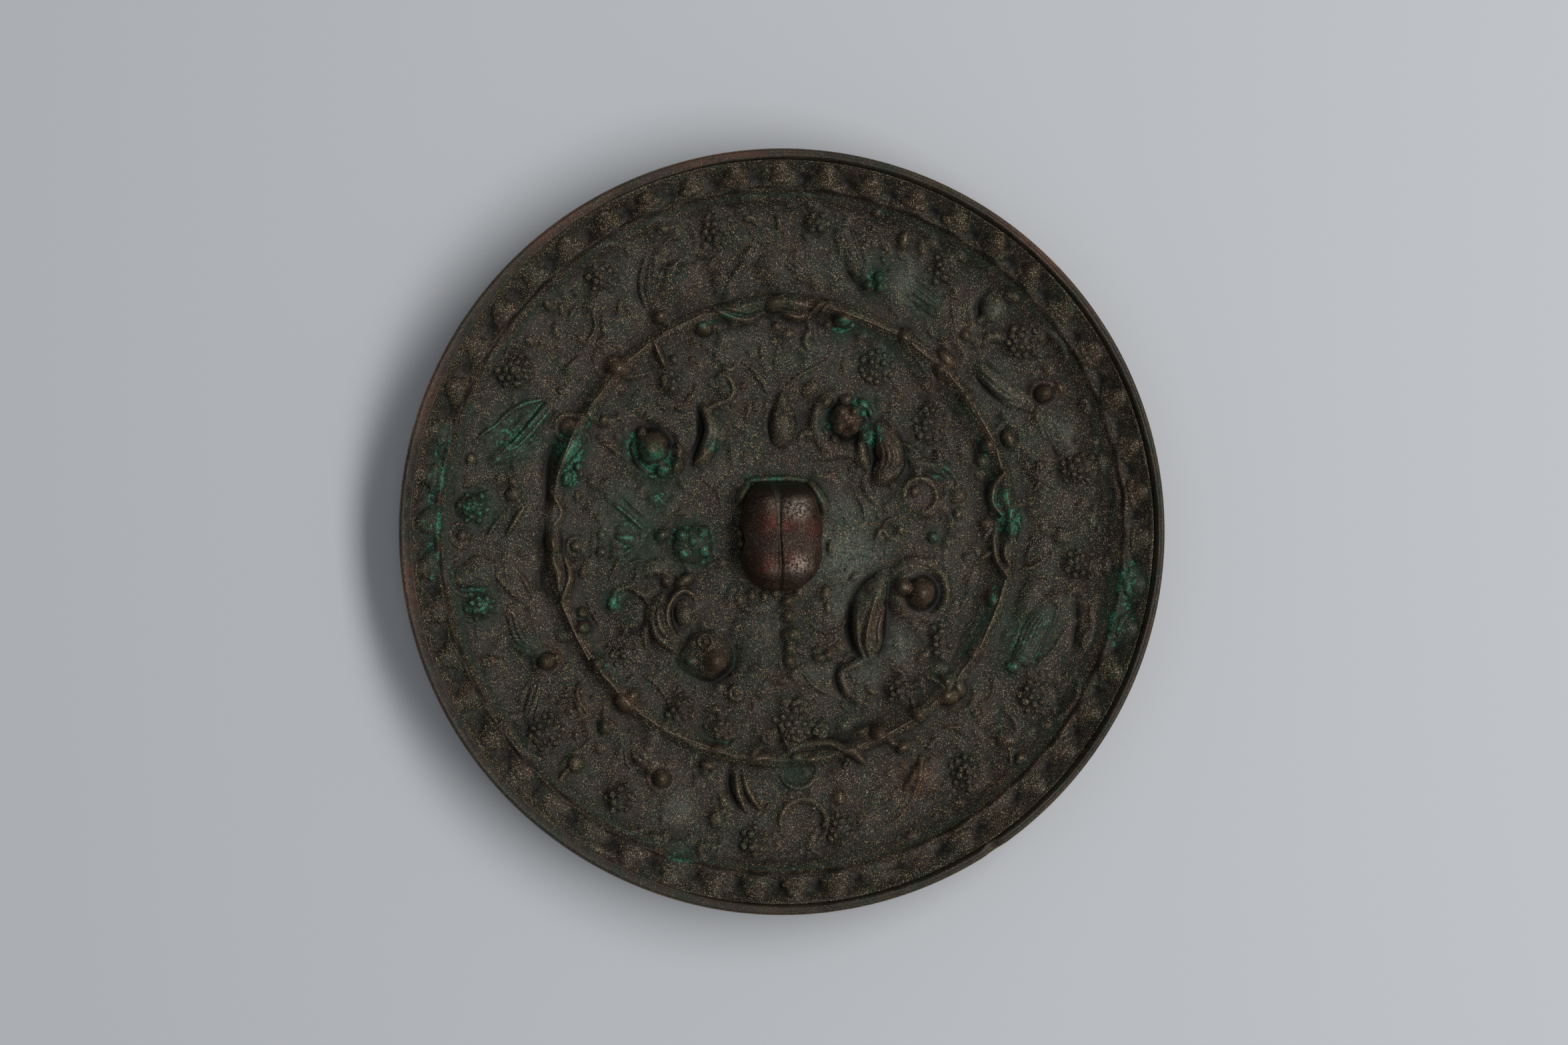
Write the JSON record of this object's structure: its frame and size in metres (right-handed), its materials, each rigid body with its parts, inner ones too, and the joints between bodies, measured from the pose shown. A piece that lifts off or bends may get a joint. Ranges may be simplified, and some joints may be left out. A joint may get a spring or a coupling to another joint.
{
  "type": "bronze mirror",
  "caption": "Round cast bronze mirror, back up: raised rim, palmette border, vine ring, beasts, birds and grapes in relief, and a pierced beast knob.",
  "frame": {"origin": "centre of the reflecting face, which the mirror lies on", "axes": "+Z out of the decorated back; +Y towards the top of the design, away from the knob beast's tail; +X to the right"},
  "size_m": [0.12, 0.12, 0.011],
  "materials": {
    "bronze": "dark brown-black cast bronze with green patina in the hollows and worn, warmer high spots"
  },
  "bodies": {
    "root": {"mirror": "bronze"}
  },
  "joints": []
}
